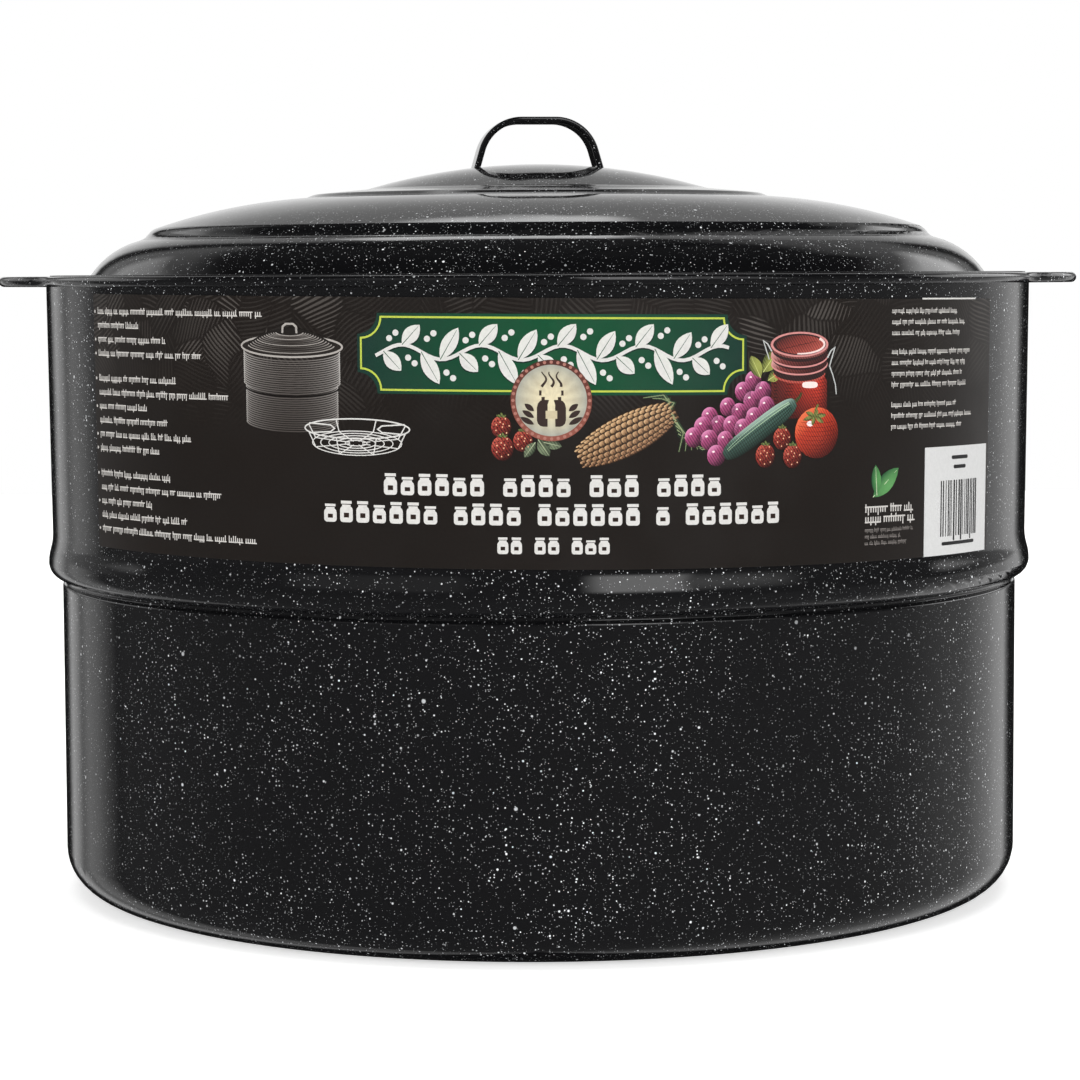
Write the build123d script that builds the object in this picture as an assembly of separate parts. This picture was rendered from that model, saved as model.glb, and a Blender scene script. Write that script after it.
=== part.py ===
from build123d import *

import os
from math import cos, radians, sin, sqrt, tan

# A water bath canner: a stepped enamel pot with two ears, a domed lid with a strap handle, and a wire jar rack with
# two fold-down handles. Millimetres. The origin is the centre of the pot's base, +Z is up, the label faces -Y, and
# the ears point along +X and -X.

# Pot
POT_SHEET = 1.0
BASE_R = 198.7            # lower wall, outside
BASE_CORNER = 17.3
BEAD_R = 204.3            # widest circle of the step bead
BEAD_Z = 135.8
BEAD_CURVE = 5.9          # radius of the bead's lower half
CREASE_R = 197.3          # deepest circle of the crease under the bead
CREASE_CURVE = 1.3
SHOULDER_CURVE = 1.3      # the lower wall turns into the crease over this
UPPER_R = 202.5           # foot of the upper wall
UPPER_Z = 147.9
MOUTH_R = 203.6           # the upper wall widens to this at the rim
RIM_Z = 253.1             # top of the rolled rim
RIM_CURL = 2.1            # radius of the curl
RIM_R = 203.3             # centre of the curl
EAR_TIP = 224.8           # outer edge of each ear
EAR_CENTRE = 150.0        # each ear is the end of an ellipse about this point
EAR_HALF = 66.0           # half length of the ellipse along the wall
EAR_BLEND = 28.0          # concave blend from the rim into the ear
EAR_SHEET = 1.2

# Paper on the pot
LABEL_BOTTOM, LABEL_TOP = 147.3, 244.8
LABEL_START, LABEL_END = -57.0, 59.2   # degrees about the axis from -Y, towards +X
LABEL_PAPER = 0.25
LABEL_TILT = 0.56         # degrees: the wrap was stuck on a little crooked, lower on its right
STICKER_BOTTOM, STICKER_TOP = 146.6, 188.0
STICKER_START, STICKER_END = 45.8, 58.6
STICKER_PAPER = 0.15
PAPER_GAP = 0.2           # the wrap bridges the hollow at the wall's foot
GLUE = 0.05

# Lid
LID_SHEET = 0.9
LID_SEAT = 0.05           # the flange's edge rides this far over the curl
LID_TOP = 298.8
LID_R = 202.0
LID_EDGE = 0.4            # rounding of the flange's edge
CROWN_R, CROWN_CURVE = 72.0, 252.0     # inner dome
PLATEAU_R, PLATEAU_Z = 93.5, 286.3     # flat band round the inner dome
DOME_R, DOME_Z = 96.9, 284.8           # the outer dome starts here
EDGE_R, EDGE_Z = 160.2, 272.0          # and ends here, at a small step
DOME_CURVE = 227.0
SKIRT_R, SKIRT_Z = 163.4, 268.0
SKIRT_CURVE = 34.0
SKIRT_FOOT_R, SKIRT_FOOT_Z = 185.4, 253.4
GUTTER_IN, GUTTER_OUT, GUTTER_Z = 186.6, 197.2, 249.5    # the groove's floor
LIP_R = 198.4             # the flange turns out of the groove here
CROWN_EDGE_CURVE = 14.0                # the crown turns into the flat band over this
RISER_TOP_CURVE, RISER_FOOT_CURVE = 4.0, 3.0
STEP_CURVE, STEP_FOOT_CURVE = 6.0, 6.0
GUTTER_CURVE = 1.2

# Lid handle
STRAP = 2.6               # thickness over its rolled edges
STRAP_WIDTH = 18.0
STRAP_ROLL = 1.05         # radius of those edges
HANDLE_TOP = 318.3
HANDLE_TOP_HALF, HANDLE_FOOT_HALF = 21.3, 27.2
HANDLE_BEND = 18.5
HANDLE_TURN = 6.0         # degrees: the lid was put on a little turned
FOOT_DEPTH = 0.9          # the strap's ends are buried this far in the dome's sheet
WELD = 0.3                # how far welded pieces sink into each other

# Jar rack
WIRE = 3.6                # floor rings and ribs
HEAVY_WIRE = 4.0          # top ring and handles
RACK_GAP = 0.4            # between the pot's base and the ribs
RACK_R = 176.0            # top ring, wire centre
RACK_TOP_Z = 60.0
RIB_COUNT = 8
RIB_START_R = 16.0
RIB_BEND = 13.0
RIB_RISE = 1.0            # the ribs end this far above the top ring's centre
RING_FIRST_R, RING_PITCH, RING_COUNT = 20.0, 27.5, 6
HINGE_ANGLE = 28.0        # the eyes sit this far each side of the X axis
EYE_R = 5.8               # wire centre
EYE_TURN = 290.0
EYE_TAIL = 14.0           # straight wire from each eye to the first bend
TAIL_BEND = 10.0
HANDLE_REACH = 95.0       # from the hinge line to the grip
GRIP_HALF = 58.0
GRIP_BEND = 16.0


def arc(start, end, tangent):
    return TangentArc(start, end, tangent=tangent)


def joined(*edges):
    return Wire([e for edge in edges for e in edge.edges()])


def rounded(path, corners):
    """The path with its corner at each point rounded to that radius."""
    for point, radius in corners:
        path = path.fillet_2d(radius, [path.vertices().sort_by_distance(point)[0]])
    return path


def spun(path, thickness, side):
    """Sheet metal of revolution. The path, in (radius, height), is its outer face."""
    outline = path.offset_2d(thickness, side=side, closed=True)
    return revolve(Plane.XZ * make_face(outline.edges()), Axis.Z)


def wire_along(path, diameter):
    section = Plane(path @ 0, z_dir=path % 0) * Circle(diameter / 2)
    return sweep(section, path)


def pot_path():
    """The wall's outer face: base, corner, lower wall, crease, step bead and upper wall, all tangent."""
    bead = (BEAD_R - BEAD_CURVE, BEAD_Z)
    crease_r = CREASE_R + CREASE_CURVE
    crease = (crease_r, BEAD_Z - sqrt((BEAD_CURVE + CREASE_CURVE) ** 2 - (crease_r - bead[0]) ** 2))
    shoulder_r = BASE_R - SHOULDER_CURVE
    drop = sqrt((SHOULDER_CURVE + CREASE_CURVE) ** 2 - (crease_r - shoulder_r) ** 2)
    shoulder = (shoulder_r, crease[1] - drop)
    lower_touch = Vector(shoulder) + (Vector(crease) - Vector(shoulder)).normalized() * SHOULDER_CURVE
    upper_touch = Vector(crease) + (Vector(bead) - Vector(crease)).normalized() * CREASE_CURVE
    inflection = ((BEAD_R + UPPER_R) / 2, (BEAD_Z + UPPER_Z) / 2)

    base = Line((0, 0), (BASE_R - BASE_CORNER, 0))
    corner = arc(base @ 1, (BASE_R, BASE_CORNER), (1, 0))
    lower = Line(corner @ 1, (BASE_R, shoulder[1]))
    turn_in = arc(lower @ 1, lower_touch, (0, 1))
    valley = arc(turn_in @ 1, upper_touch, turn_in % 1)
    swell = arc(valley @ 1, (BEAD_R, BEAD_Z), valley % 1)
    swell_top = arc(swell @ 1, inflection, (0, 1))
    hollow = arc(inflection, (UPPER_R, UPPER_Z), swell_top % 1)
    upper = Line(hollow @ 1, (MOUTH_R, RIM_Z - RIM_CURL))
    return joined(base, corner, lower, turn_in, valley, swell, swell_top, hollow, upper)


def rim_outline():
    """The curl's centre from above: the mouth's circle running out round both ears."""
    ear = Ellipse(EAR_TIP - RIM_CURL - EAR_CENTRE, EAR_HALF)
    outline = Circle(RIM_R) + Pos(EAR_CENTRE, 0) * ear + Pos(-EAR_CENTRE, 0) * ear
    roots = [v for v in outline.vertices() if abs(v.Y) > EAR_HALF / 2]
    return fillet(roots, EAR_BLEND)


def pot_body():
    """The drawn pot with its ears, closed all round by one rolled bead."""
    outline = Pos(0, 0, RIM_Z - RIM_CURL) * rim_outline()
    sheet = outline - Pos(0, 0, RIM_Z - RIM_CURL) * Circle(MOUTH_R - POT_SHEET)
    ears = extrude(sheet, EAR_SHEET / 2, both=True)
    curl = wire_along(outline.face().outer_wire(), 2 * RIM_CURL)
    return spun(pot_path(), POT_SHEET, Side.LEFT) + ears + curl


def upper_wall_r(z):
    return UPPER_R + (MOUTH_R - UPPER_R) * (z - UPPER_Z) / (RIM_Z - RIM_CURL - UPPER_Z)


def paper(lift, thickness, start, end, bottom, top):
    """A piece of paper on the upper wall, cut square to the wrap's own tilt."""
    spare = 1.5 * MOUTH_R * tan(radians(LABEL_TILT))
    low, high = bottom - spare, top + spare
    foot, head = upper_wall_r(low) + lift, upper_wall_r(high) + lift
    strip = Polyline((foot, low), (foot + thickness, low), (head + thickness, high), (head, high), close=True)
    ring = revolve(Plane.XZ * make_face(strip.edges()), Axis.Z, end - start)
    ring = Rot(0, 0, start - 90) * ring
    slab = Pos(0, 0, (bottom + top) / 2) * Rot(0, LABEL_TILT, 0) * Box(3 * MOUTH_R, 3 * MOUTH_R, top - bottom)
    return ring & slab


def label_wrap():
    return paper(PAPER_GAP, LABEL_PAPER, LABEL_START, LABEL_END, LABEL_BOTTOM, LABEL_TOP)


def barcode_sticker():
    drop = tan(radians(LABEL_TILT)) * MOUTH_R * sin(radians(STICKER_START))
    lift = PAPER_GAP + LABEL_PAPER + GLUE
    return Pos(0, 0, drop / 2) * paper(lift, STICKER_PAPER, STICKER_START, STICKER_END, STICKER_BOTTOM, STICKER_TOP)


def crown_z(r):
    return LID_TOP - CROWN_CURVE + sqrt(CROWN_CURVE**2 - r**2)


def lid_path():
    """The lid's upper face: inner dome, flat band, outer dome, skirt, gutter and flange."""
    curl_top = RIM_Z - RIM_CURL + sqrt(RIM_CURL**2 - (RIM_R - LID_R) ** 2)
    flange_z = curl_top + LID_SEAT + LID_SHEET
    crown = arc((0, LID_TOP), (CROWN_R, crown_z(CROWN_R)), (1, 0))
    band = Line(crown @ 1, (PLATEAU_R, PLATEAU_Z))
    riser = Line(band @ 1, (DOME_R, DOME_Z))
    dome = RadiusArc(riser @ 1, (EDGE_R, EDGE_Z), DOME_CURVE)
    step = Line(dome @ 1, (SKIRT_R, SKIRT_Z))
    skirt = RadiusArc(step @ 1, (SKIRT_FOOT_R, SKIRT_FOOT_Z), SKIRT_CURVE)
    gutter_side = Line(skirt @ 1, (GUTTER_IN, GUTTER_Z))
    gutter = Line(gutter_side @ 1, (GUTTER_OUT, GUTTER_Z))
    gutter_lip = Line(gutter @ 1, (LIP_R, flange_z))
    flange = Line(gutter_lip @ 1, (LID_R, flange_z))
    path = joined(crown, band, riser, dome, step, skirt, gutter_side, gutter, gutter_lip, flange)
    corners = [
        (crown @ 1, CROWN_EDGE_CURVE),
        (band @ 1, RISER_TOP_CURVE),
        (riser @ 1, RISER_FOOT_CURVE),
        (dome @ 1, STEP_CURVE),
        (step @ 1, STEP_FOOT_CURVE),
        (gutter_side @ 1, GUTTER_CURVE),
        (gutter @ 1, GUTTER_CURVE),
        (gutter_lip @ 1, GUTTER_CURVE),
    ]
    return rounded(path, corners)


def lid_shell():
    shell = spun(lid_path(), LID_SHEET, Side.RIGHT)
    rim_edges = [e for e in shell.edges().filter_by(GeomType.CIRCLE) if e.radius > LID_R - LID_EDGE]
    return fillet(rim_edges, LID_EDGE)


def lid_handle():
    """A bent strap with rolled edges, whose two ends are welded into the dome."""
    half = STRAP / 2
    foot_x, top_x, top_z = HANDLE_FOOT_HALF - half, HANDLE_TOP_HALF - half, HANDLE_TOP - half
    foot_z = crown_z(foot_x) - FOOT_DEPTH
    points = [(-foot_x, 0, foot_z), (-top_x, 0, top_z), (top_x, 0, top_z), (foot_x, 0, foot_z)]
    path = Wire(FilletPolyline(*points, radius=HANDLE_BEND - half).edges())
    section = Plane(path @ 0, x_dir=(0, 1, 0), z_dir=path % 0) * RectangleRounded(STRAP_WIDTH, STRAP, STRAP_ROLL)
    return Rot(0, 0, HANDLE_TURN) * sweep(section, path)


def ring(radius, z, diameter):
    return Pos(0, 0, z) * Torus(radius, diameter / 2)


def rib_z():
    return POT_SHEET + RACK_GAP + WIRE / 2


def rack_rib(index):
    """A wire that starts under the first ring, runs out under the others and bends up to the top ring."""
    upright_r = RACK_R - (HEAVY_WIRE + WIRE) / 2 + WELD
    path = FilletPolyline(
        (RIB_START_R, 0, rib_z()),
        (upright_r, 0, rib_z()),
        (upright_r, 0, RACK_TOP_Z + RIB_RISE),
        radius=RIB_BEND,
    )
    return Rot(0, 0, index * 360 / RIB_COUNT) * wire_along(Wire(path.edges()), WIRE)


def rack_handle(side):
    """A wire bail folded in over the rack: an eye round the top ring at each end, two arms and a grip."""
    hinge_x = RACK_R * cos(radians(HINGE_ANGLE))
    hinge_y = RACK_R * sin(radians(HINGE_ANGLE))
    arm_z = RACK_TOP_Z + EYE_R
    grip_x = hinge_x - HANDLE_REACH
    bail = FilletPolyline(
        (hinge_x, -hinge_y, arm_z),
        (hinge_x - EYE_TAIL, -hinge_y, arm_z),
        (grip_x, -GRIP_HALF, arm_z),
        (grip_x, GRIP_HALF, arm_z),
        (hinge_x - EYE_TAIL, hinge_y, arm_z),
        (hinge_x, hinge_y, arm_z),
        radius=[TAIL_BEND, GRIP_BEND, GRIP_BEND, TAIL_BEND],
    )
    eyes = []
    for y in (-hinge_y, hinge_y):
        plane = Plane((hinge_x, y, RACK_TOP_Z), x_dir=(0, 0, 1), z_dir=(0, 1, 0))
        eyes += (plane * CenterArc((0, 0), EYE_R, 0, EYE_TURN)).edges()
    path = Wire(eyes + list(bail.edges()))
    body = wire_along(path, HEAVY_WIRE)
    return body if side > 0 else Rot(0, 0, 180) * body


def parts():
    yield "pot_body", pot_body()
    yield "label_wrap", label_wrap()
    yield "barcode_sticker", barcode_sticker()
    yield "lid_shell", lid_shell()
    yield "lid_handle", lid_handle()
    yield "rack_top_ring", ring(RACK_R, RACK_TOP_Z, HEAVY_WIRE)
    for index in range(RING_COUNT):
        yield f"rack_floor_ring_{index + 1}", ring(RING_FIRST_R + index * RING_PITCH, rib_z() + WIRE - WELD, WIRE)
    for index in range(RIB_COUNT):
        yield f"rack_rib_{index + 1}", rack_rib(index)
    yield "rack_handle_left", rack_handle(-1)
    yield "rack_handle_right", rack_handle(1)


os.makedirs("parts", exist_ok=True)
for name, shape in parts():
    export_step(shape, f"parts/{name}.step")
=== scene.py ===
import math
import random

import bpy
from mathutils import Matrix, Vector


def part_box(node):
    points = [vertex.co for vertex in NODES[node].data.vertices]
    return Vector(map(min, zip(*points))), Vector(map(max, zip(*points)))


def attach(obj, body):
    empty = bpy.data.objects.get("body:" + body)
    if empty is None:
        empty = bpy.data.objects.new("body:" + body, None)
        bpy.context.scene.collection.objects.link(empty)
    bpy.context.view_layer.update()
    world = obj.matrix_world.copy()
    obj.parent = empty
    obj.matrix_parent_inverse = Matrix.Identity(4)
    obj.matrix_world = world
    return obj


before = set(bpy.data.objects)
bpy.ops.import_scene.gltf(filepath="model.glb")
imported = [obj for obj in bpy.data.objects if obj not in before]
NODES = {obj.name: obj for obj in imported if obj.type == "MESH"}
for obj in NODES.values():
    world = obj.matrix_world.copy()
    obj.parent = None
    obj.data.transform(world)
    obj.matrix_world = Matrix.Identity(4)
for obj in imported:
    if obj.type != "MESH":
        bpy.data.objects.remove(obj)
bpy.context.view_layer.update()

MM = 0.001


# ---------------------------------------------------------------- colours and node helpers


def ink(red, green, blue):
    """A screen colour, 0 to 255, as the linear colour that a shader takes."""
    linear = [((c / 255 + 0.055) / 1.055) ** 2.4 if c > 10 else c / 255 / 12.92 for c in (red, green, blue)]
    return (*linear, 1.0)


class Graph:
    """A short way to write a node tree: each call makes a node and returns its first output."""

    def __init__(self, tree):
        self.tree = tree

    def node(self, kind, inputs=None, **settings):
        made = self.tree.nodes.new(kind)
        for key, value in settings.items():
            setattr(made, key, value)
        for key, value in (inputs or {}).items():
            socket = made.inputs[key]
            if isinstance(value, bpy.types.NodeSocket):
                self.tree.links.new(value, socket)
            else:
                socket.default_value = value
        return made

    def math(self, operation, a, b=0.0, c=0.0, clamp=False):
        made = self.node("ShaderNodeMath", {0: a, 1: b, 2: c}, operation=operation, use_clamp=clamp)
        return made.outputs[0]

    def fade(self, value, low, high, to_low=0.0, to_high=1.0):
        """A smooth step of value, from to_low at low to to_high at high."""
        inputs = {"Value": value, "From Min": low, "From Max": high, "To Min": to_low, "To Max": to_high}
        return self.node("ShaderNodeMapRange", inputs, interpolation_type="SMOOTHSTEP").outputs[0]

    def mix(self, factor, a, b, blend="MIX"):
        made = self.node("ShaderNodeMix", data_type="RGBA", blend_type=blend)
        for socket, value in ((made.inputs[0], factor), (made.inputs[6], a), (made.inputs[7], b)):
            if isinstance(value, bpy.types.NodeSocket):
                self.tree.links.new(value, socket)
            else:
                socket.default_value = value
        return made.outputs[2]

    def ramp(self, value, stops):
        made = self.node("ShaderNodeValToRGB", {0: value})
        elements = made.color_ramp.elements
        while len(elements) < len(stops):
            elements.new(0.5)
        for element, (position, grey) in zip(elements, stops):
            element.position = position
            element.color = (grey, grey, grey, 1)
        return made.outputs[0]

    def noise(self, vector, scale, detail=2.0, rough=0.5):
        inputs = {"Vector": vector, "Scale": scale, "Detail": detail, "Roughness": rough}
        return self.node("ShaderNodeTexNoise", inputs).outputs["Fac"]


def new_material(name, **sockets):
    """A Principled material; sockets are uniform values set on the shader itself."""
    material = bpy.data.materials.new(name)
    material.use_nodes = True
    graph = Graph(material.node_tree)
    shader = material.node_tree.nodes["Principled BSDF"]
    for key, value in sockets.items():
        shader.inputs[key.replace("_", " ").title().replace("Ior", "IOR")].default_value = value
    place = graph.node("ShaderNodeTexCoord").outputs["Object"]
    return material, graph, shader, place


def plug(graph, output, shader, socket):
    graph.tree.links.new(output, shader.inputs[socket])


def bump(graph, shader, height, distance, strength=1.0):
    made = graph.node("ShaderNodeBump", {"Height": height, "Distance": distance, "Strength": strength})
    plug(graph, made.outputs[0], shader, "Normal")


# ---------------------------------------------------------------- materials


def wandering(graph, place, scale, reach):
    """The place, pushed about by a noise of the given scale, up to about reach metres."""
    noise = graph.node("ShaderNodeTexNoise", {"Vector": place, "Scale": scale, "Detail": 1.0}).outputs["Color"]
    shift = graph.node("ShaderNodeVectorMath", {0: noise, "Scale": reach}, operation="SCALE").outputs[0]
    return graph.node("ShaderNodeVectorMath", {0: place, 1: shift}, operation="ADD").outputs[0]


def speckles(graph, place, cell, smallest, largest, seed):
    """White flecks, one to a cell, most of them small. The mask is 1 inside a fleck. Lengths are in metres."""
    offset = (seed, 2 * seed, 3 * seed)
    moved = graph.node("ShaderNodeVectorMath", {0: place, 1: offset}, operation="ADD").outputs[0]
    cells = graph.node("ShaderNodeTexVoronoi", {"Vector": moved, "Scale": 1 / cell, "Randomness": 1.0})
    chance = graph.node("ShaderNodeSeparateColor", {0: cells.outputs["Color"]})
    share = graph.math("POWER", chance.outputs[0], 2.2)
    radius = graph.math("MULTIPLY_ADD", share, (largest - smallest) / cell, smallest / cell)
    edge = graph.math("DIVIDE", cells.outputs["Distance"], radius)
    strength = graph.fade(chance.outputs[1], 0.0, 1.0, 0.45, 1.0)
    return graph.math("MULTIPLY", graph.fade(edge, 0.7, 1.1, 1.0, 0.0), strength)


def enamel():
    """Gloss black porcelain enamel, fired over with flecks of white from dust to drops."""
    material, graph, shader, place = new_material("enamel", roughness=0.07, specular_ior_level=0.5)
    bent = wandering(graph, place, 1100.0, 0.00025)
    drift = graph.fade(graph.noise(place, 16.0, 4.0, 0.6), 0.36, 0.60, 0.45, 1.25)

    layers = [   # cell, smallest and largest fleck, strength, seed
        (0.00085, 0.00004, 0.00020, 0.62, 0.1),
        (0.00135, 0.00006, 0.00034, 0.95, 0.3),
        (0.00320, 0.00010, 0.00052, 1.00, 0.7),
        (0.01150, 0.00020, 0.00090, 1.00, 1.1),
    ]
    total = None
    for cell, smallest, largest, strength, seed in layers:
        mask = graph.math("MULTIPLY", speckles(graph, bent, cell, smallest, largest, seed), strength)
        total = mask if total is None else graph.math("MAXIMUM", total, mask)
    total = graph.math("MULTIPLY", total, drift, clamp=True)
    black = graph.mix(graph.noise(place, 6.0), ink(13, 13, 15), ink(19, 19, 20))
    plug(graph, graph.mix(total, black, ink(250, 252, 254)), shader, "Base Color")

    smear = graph.noise(place, 14.0, 3.0)
    plug(graph, graph.fade(smear, 0.3, 0.7, 0.04, 0.09), shader, "Roughness")
    flecks_proud = graph.math("MULTIPLY", total, 0.12)
    ripple = graph.math("MULTIPLY_ADD", graph.noise(place, 55.0, 1.0), 0.75, flecks_proud)
    bump(graph, shader, ripple, 0.00012, 0.6)
    return material


def unrolled(graph, place, radius):
    """The place on the wrap as (distance round, height, 0)."""
    axes = graph.node("ShaderNodeSeparateXYZ", {0: place})
    back = graph.math("MULTIPLY", axes.outputs[1], -1.0)
    angle = graph.math("ARCTAN2", axes.outputs[0], back)
    along = graph.math("MULTIPLY", angle, radius)
    return graph.node("ShaderNodeCombineXYZ", {0: along, 1: axes.outputs[2]}).outputs[0], axes.outputs[2]


def hatching(graph, flat, scale, angle, bend=2.0):
    """Engraved lines: a value from 0 to 1 across each line."""
    turned = graph.node("ShaderNodeVectorRotate", {"Vector": flat, "Angle": angle}, rotation_type="Z_AXIS")
    waves = {"Scale": scale, "Distortion": bend, "Detail": 1.0, "Detail Scale": 0.12}
    inputs = {"Vector": turned.outputs[0], **waves}
    return graph.node("ShaderNodeTexWave", inputs, wave_type="BANDS").outputs["Fac"]


def woodcut(graph, flat):
    """Leaf-like patches of engraved lines, each hatched its own way and outlined."""
    bent = wandering(graph, flat, 28.0, 0.03)
    leaves = {"Vector": bent, "Scale": 58.0, "Randomness": 1.0}
    patches = graph.node("ShaderNodeTexVoronoi", leaves)
    edges = graph.node("ShaderNodeTexVoronoi", leaves, feature="DISTANCE_TO_EDGE")
    turn = graph.node("ShaderNodeSeparateColor", {0: patches.outputs["Color"]})
    angle = graph.math("MULTIPLY", turn.outputs[0], math.pi)
    waves = hatching(graph, flat, 190.0, angle, 26.0)
    width = graph.fade(patches.outputs["Distance"], 0.0, 0.75, 0.25, 0.75)
    lines = graph.fade(graph.math("SUBTRACT", waves, width), 0.0, 0.25)
    depth = graph.fade(turn.outputs[1], 0.0, 1.0, 0.15, 1.0)
    lines = graph.math("MULTIPLY", lines, depth)
    outline = graph.fade(edges.outputs["Distance"], 0.0, 0.05, 0.2, 1.0)
    return graph.math("MULTIPLY", lines, outline)


def wrap_paper(radius, foot, head):
    """Satin printed paper, nearly black brown, with a faint engraving that fades out downwards."""
    material, graph, shader, place = new_material("wrap_paper", roughness=0.34, specular_ior_level=0.45)
    flat, height = unrolled(graph, place, radius)
    lines = woodcut(graph, flat)
    upper = graph.fade(height, foot + 0.45 * (head - foot), foot + 0.95 * (head - foot), 0.0, 1.0)
    patchy = graph.fade(graph.noise(flat, 14.0, 2.0), 0.30, 0.60, 0.2, 1.0)
    strength = graph.math("MULTIPLY", graph.math("MULTIPLY", lines, upper), patchy)
    ground = graph.mix(graph.noise(flat, 12.0, 3.0), ink(21, 17, 14), ink(33, 27, 24))
    colour = graph.mix(strength, ground, ink(80, 75, 71))
    fibre = graph.noise(flat, 900.0, 4.0, 0.7)
    fuzzy = graph.mix(graph.fade(fibre, 0.3, 0.8, 0.0, 0.10), colour, ink(66, 58, 52))
    plug(graph, fuzzy, shader, "Base Color")
    plug(graph, graph.fade(graph.noise(flat, 40.0, 3.0), 0.3, 0.7, 0.28, 0.42), shader, "Roughness")
    fine = graph.math("MULTIPLY", fibre, 0.06)
    bump(graph, shader, graph.math("MULTIPLY_ADD", graph.noise(flat, 16.0, 1.0), 0.8, fine), 0.0005, 0.5)
    return material


def printed_ink(name, radius):
    """Ink that takes its colour from the print's own vertices. Dark tones are cut by engraved lines."""
    material, graph, shader, place = new_material(name, roughness=0.34, specular_ior_level=0.45)
    flat, _ = unrolled(graph, place, radius)
    colour = graph.node("ShaderNodeAttribute", attribute_name="ink").outputs["Color"]
    value = graph.node("ShaderNodeRGBToBW", {0: colour}).outputs[0]
    cut = graph.fade(value, 0.02, 0.40, 0.66, 0.0)
    fine = hatching(graph, flat, 340.0, -0.6, 4.0)
    shade = graph.fade(graph.math("SUBTRACT", cut, fine), 0.0, 0.3, 0.0, 0.6)
    mottle = graph.fade(graph.noise(place, 700.0, 3.0, 0.7), 0.3, 0.8, 0.0, 0.14)
    darker = graph.math("MAXIMUM", shade, mottle)
    plug(graph, graph.mix(darker, colour, ink(26, 22, 20)), shader, "Base Color")
    plug(graph, graph.fade(graph.noise(place, 60.0, 3.0), 0.3, 0.7, 0.28, 0.42), shader, "Roughness")
    bump(graph, shader, graph.noise(place, 1100.0, 3.0, 0.7), 0.00004, 0.4)
    return material


def plain_ink(name):
    """Ink in the vertices' colours, mottled as offset ink is."""
    material, graph, shader, place = new_material(name, roughness=0.34, specular_ior_level=0.45)
    colour = graph.node("ShaderNodeAttribute", attribute_name="ink").outputs["Color"]
    mottle = graph.fade(graph.noise(place, 700.0, 3.0, 0.7), 0.3, 0.8, 0.0, 0.12)
    plug(graph, graph.mix(mottle, colour, ink(34, 29, 26)), shader, "Base Color")
    plug(graph, graph.fade(graph.noise(place, 60.0, 3.0), 0.3, 0.7, 0.28, 0.42), shader, "Roughness")
    bump(graph, shader, graph.noise(place, 1100.0, 3.0, 0.7), 0.00004, 0.4)
    return material


def sticker_paper():
    material, graph, shader, place = new_material("sticker_paper", roughness=0.5, specular_ior_level=0.4)
    fibre = graph.noise(place, 800.0, 5.0, 0.7)
    plug(graph, graph.mix(fibre, ink(204, 204, 203), ink(226, 226, 225)), shader, "Base Color")
    plug(graph, graph.fade(graph.noise(place, 90.0, 3.0), 0.3, 0.7, 0.42, 0.58), shader, "Roughness")
    bump(graph, shader, fibre, 0.00006, 0.5)
    return material


def plated_wire():
    """Bright plated steel wire with fine drawing marks, faint tarnish and a little roughness."""
    material, graph, shader, place = new_material("plated_wire", metallic=1.0, roughness=0.2)
    cloud = graph.noise(place, 35.0, 4.0, 0.6)
    grain = graph.noise(place, 1600.0, 2.0)
    tint = graph.mix(graph.fade(cloud, 0.45, 0.75), ink(206, 207, 209), ink(168, 166, 162))
    plug(graph, tint, shader, "Base Color")
    worn = graph.math("MULTIPLY_ADD", grain, 0.10, graph.fade(cloud, 0.3, 0.8, 0.13, 0.30))
    plug(graph, worn, shader, "Roughness")
    bump(graph, shader, grain, 0.00003, 0.35)
    return material


# ---------------------------------------------------------------- the wrap's own coordinates

LABEL_TILT = math.radians(0.56)
PRINT_RISE = 2.2   # the print sits this much higher on the wrap
wrap = NODES["label_wrap"].data.vertices
wrap_low, wrap_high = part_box("label_wrap")
wrap_mid_z = (wrap_low[2] + wrap_high[2]) / 2


def wrap_radius_at(edge_z):
    return max(math.hypot(v.co.x, v.co.y) for v in wrap if abs(v.co.z - edge_z) < 4 * MM)


FOOT_R, HEAD_R = wrap_radius_at(wrap_low[2]), wrap_radius_at(wrap_high[2])
FLARE = (HEAD_R - FOOT_R) / (wrap_high[2] - wrap_low[2])
WRAP_R = (FOOT_R + HEAD_R) / 2


def on_wrap(u, v, lift):
    """A point of the wrap in mm: u round from the front towards +X, v above the base, lift off the paper."""
    angle = u * MM / WRAP_R
    x_flat = WRAP_R * math.sin(angle)
    z = (v + PRINT_RISE) * MM - x_flat * math.tan(LABEL_TILT)
    radius = FOOT_R + FLARE * (z - wrap_low[2]) + lift * MM
    return Vector((radius * math.sin(angle), -radius * math.cos(angle), z))


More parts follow.
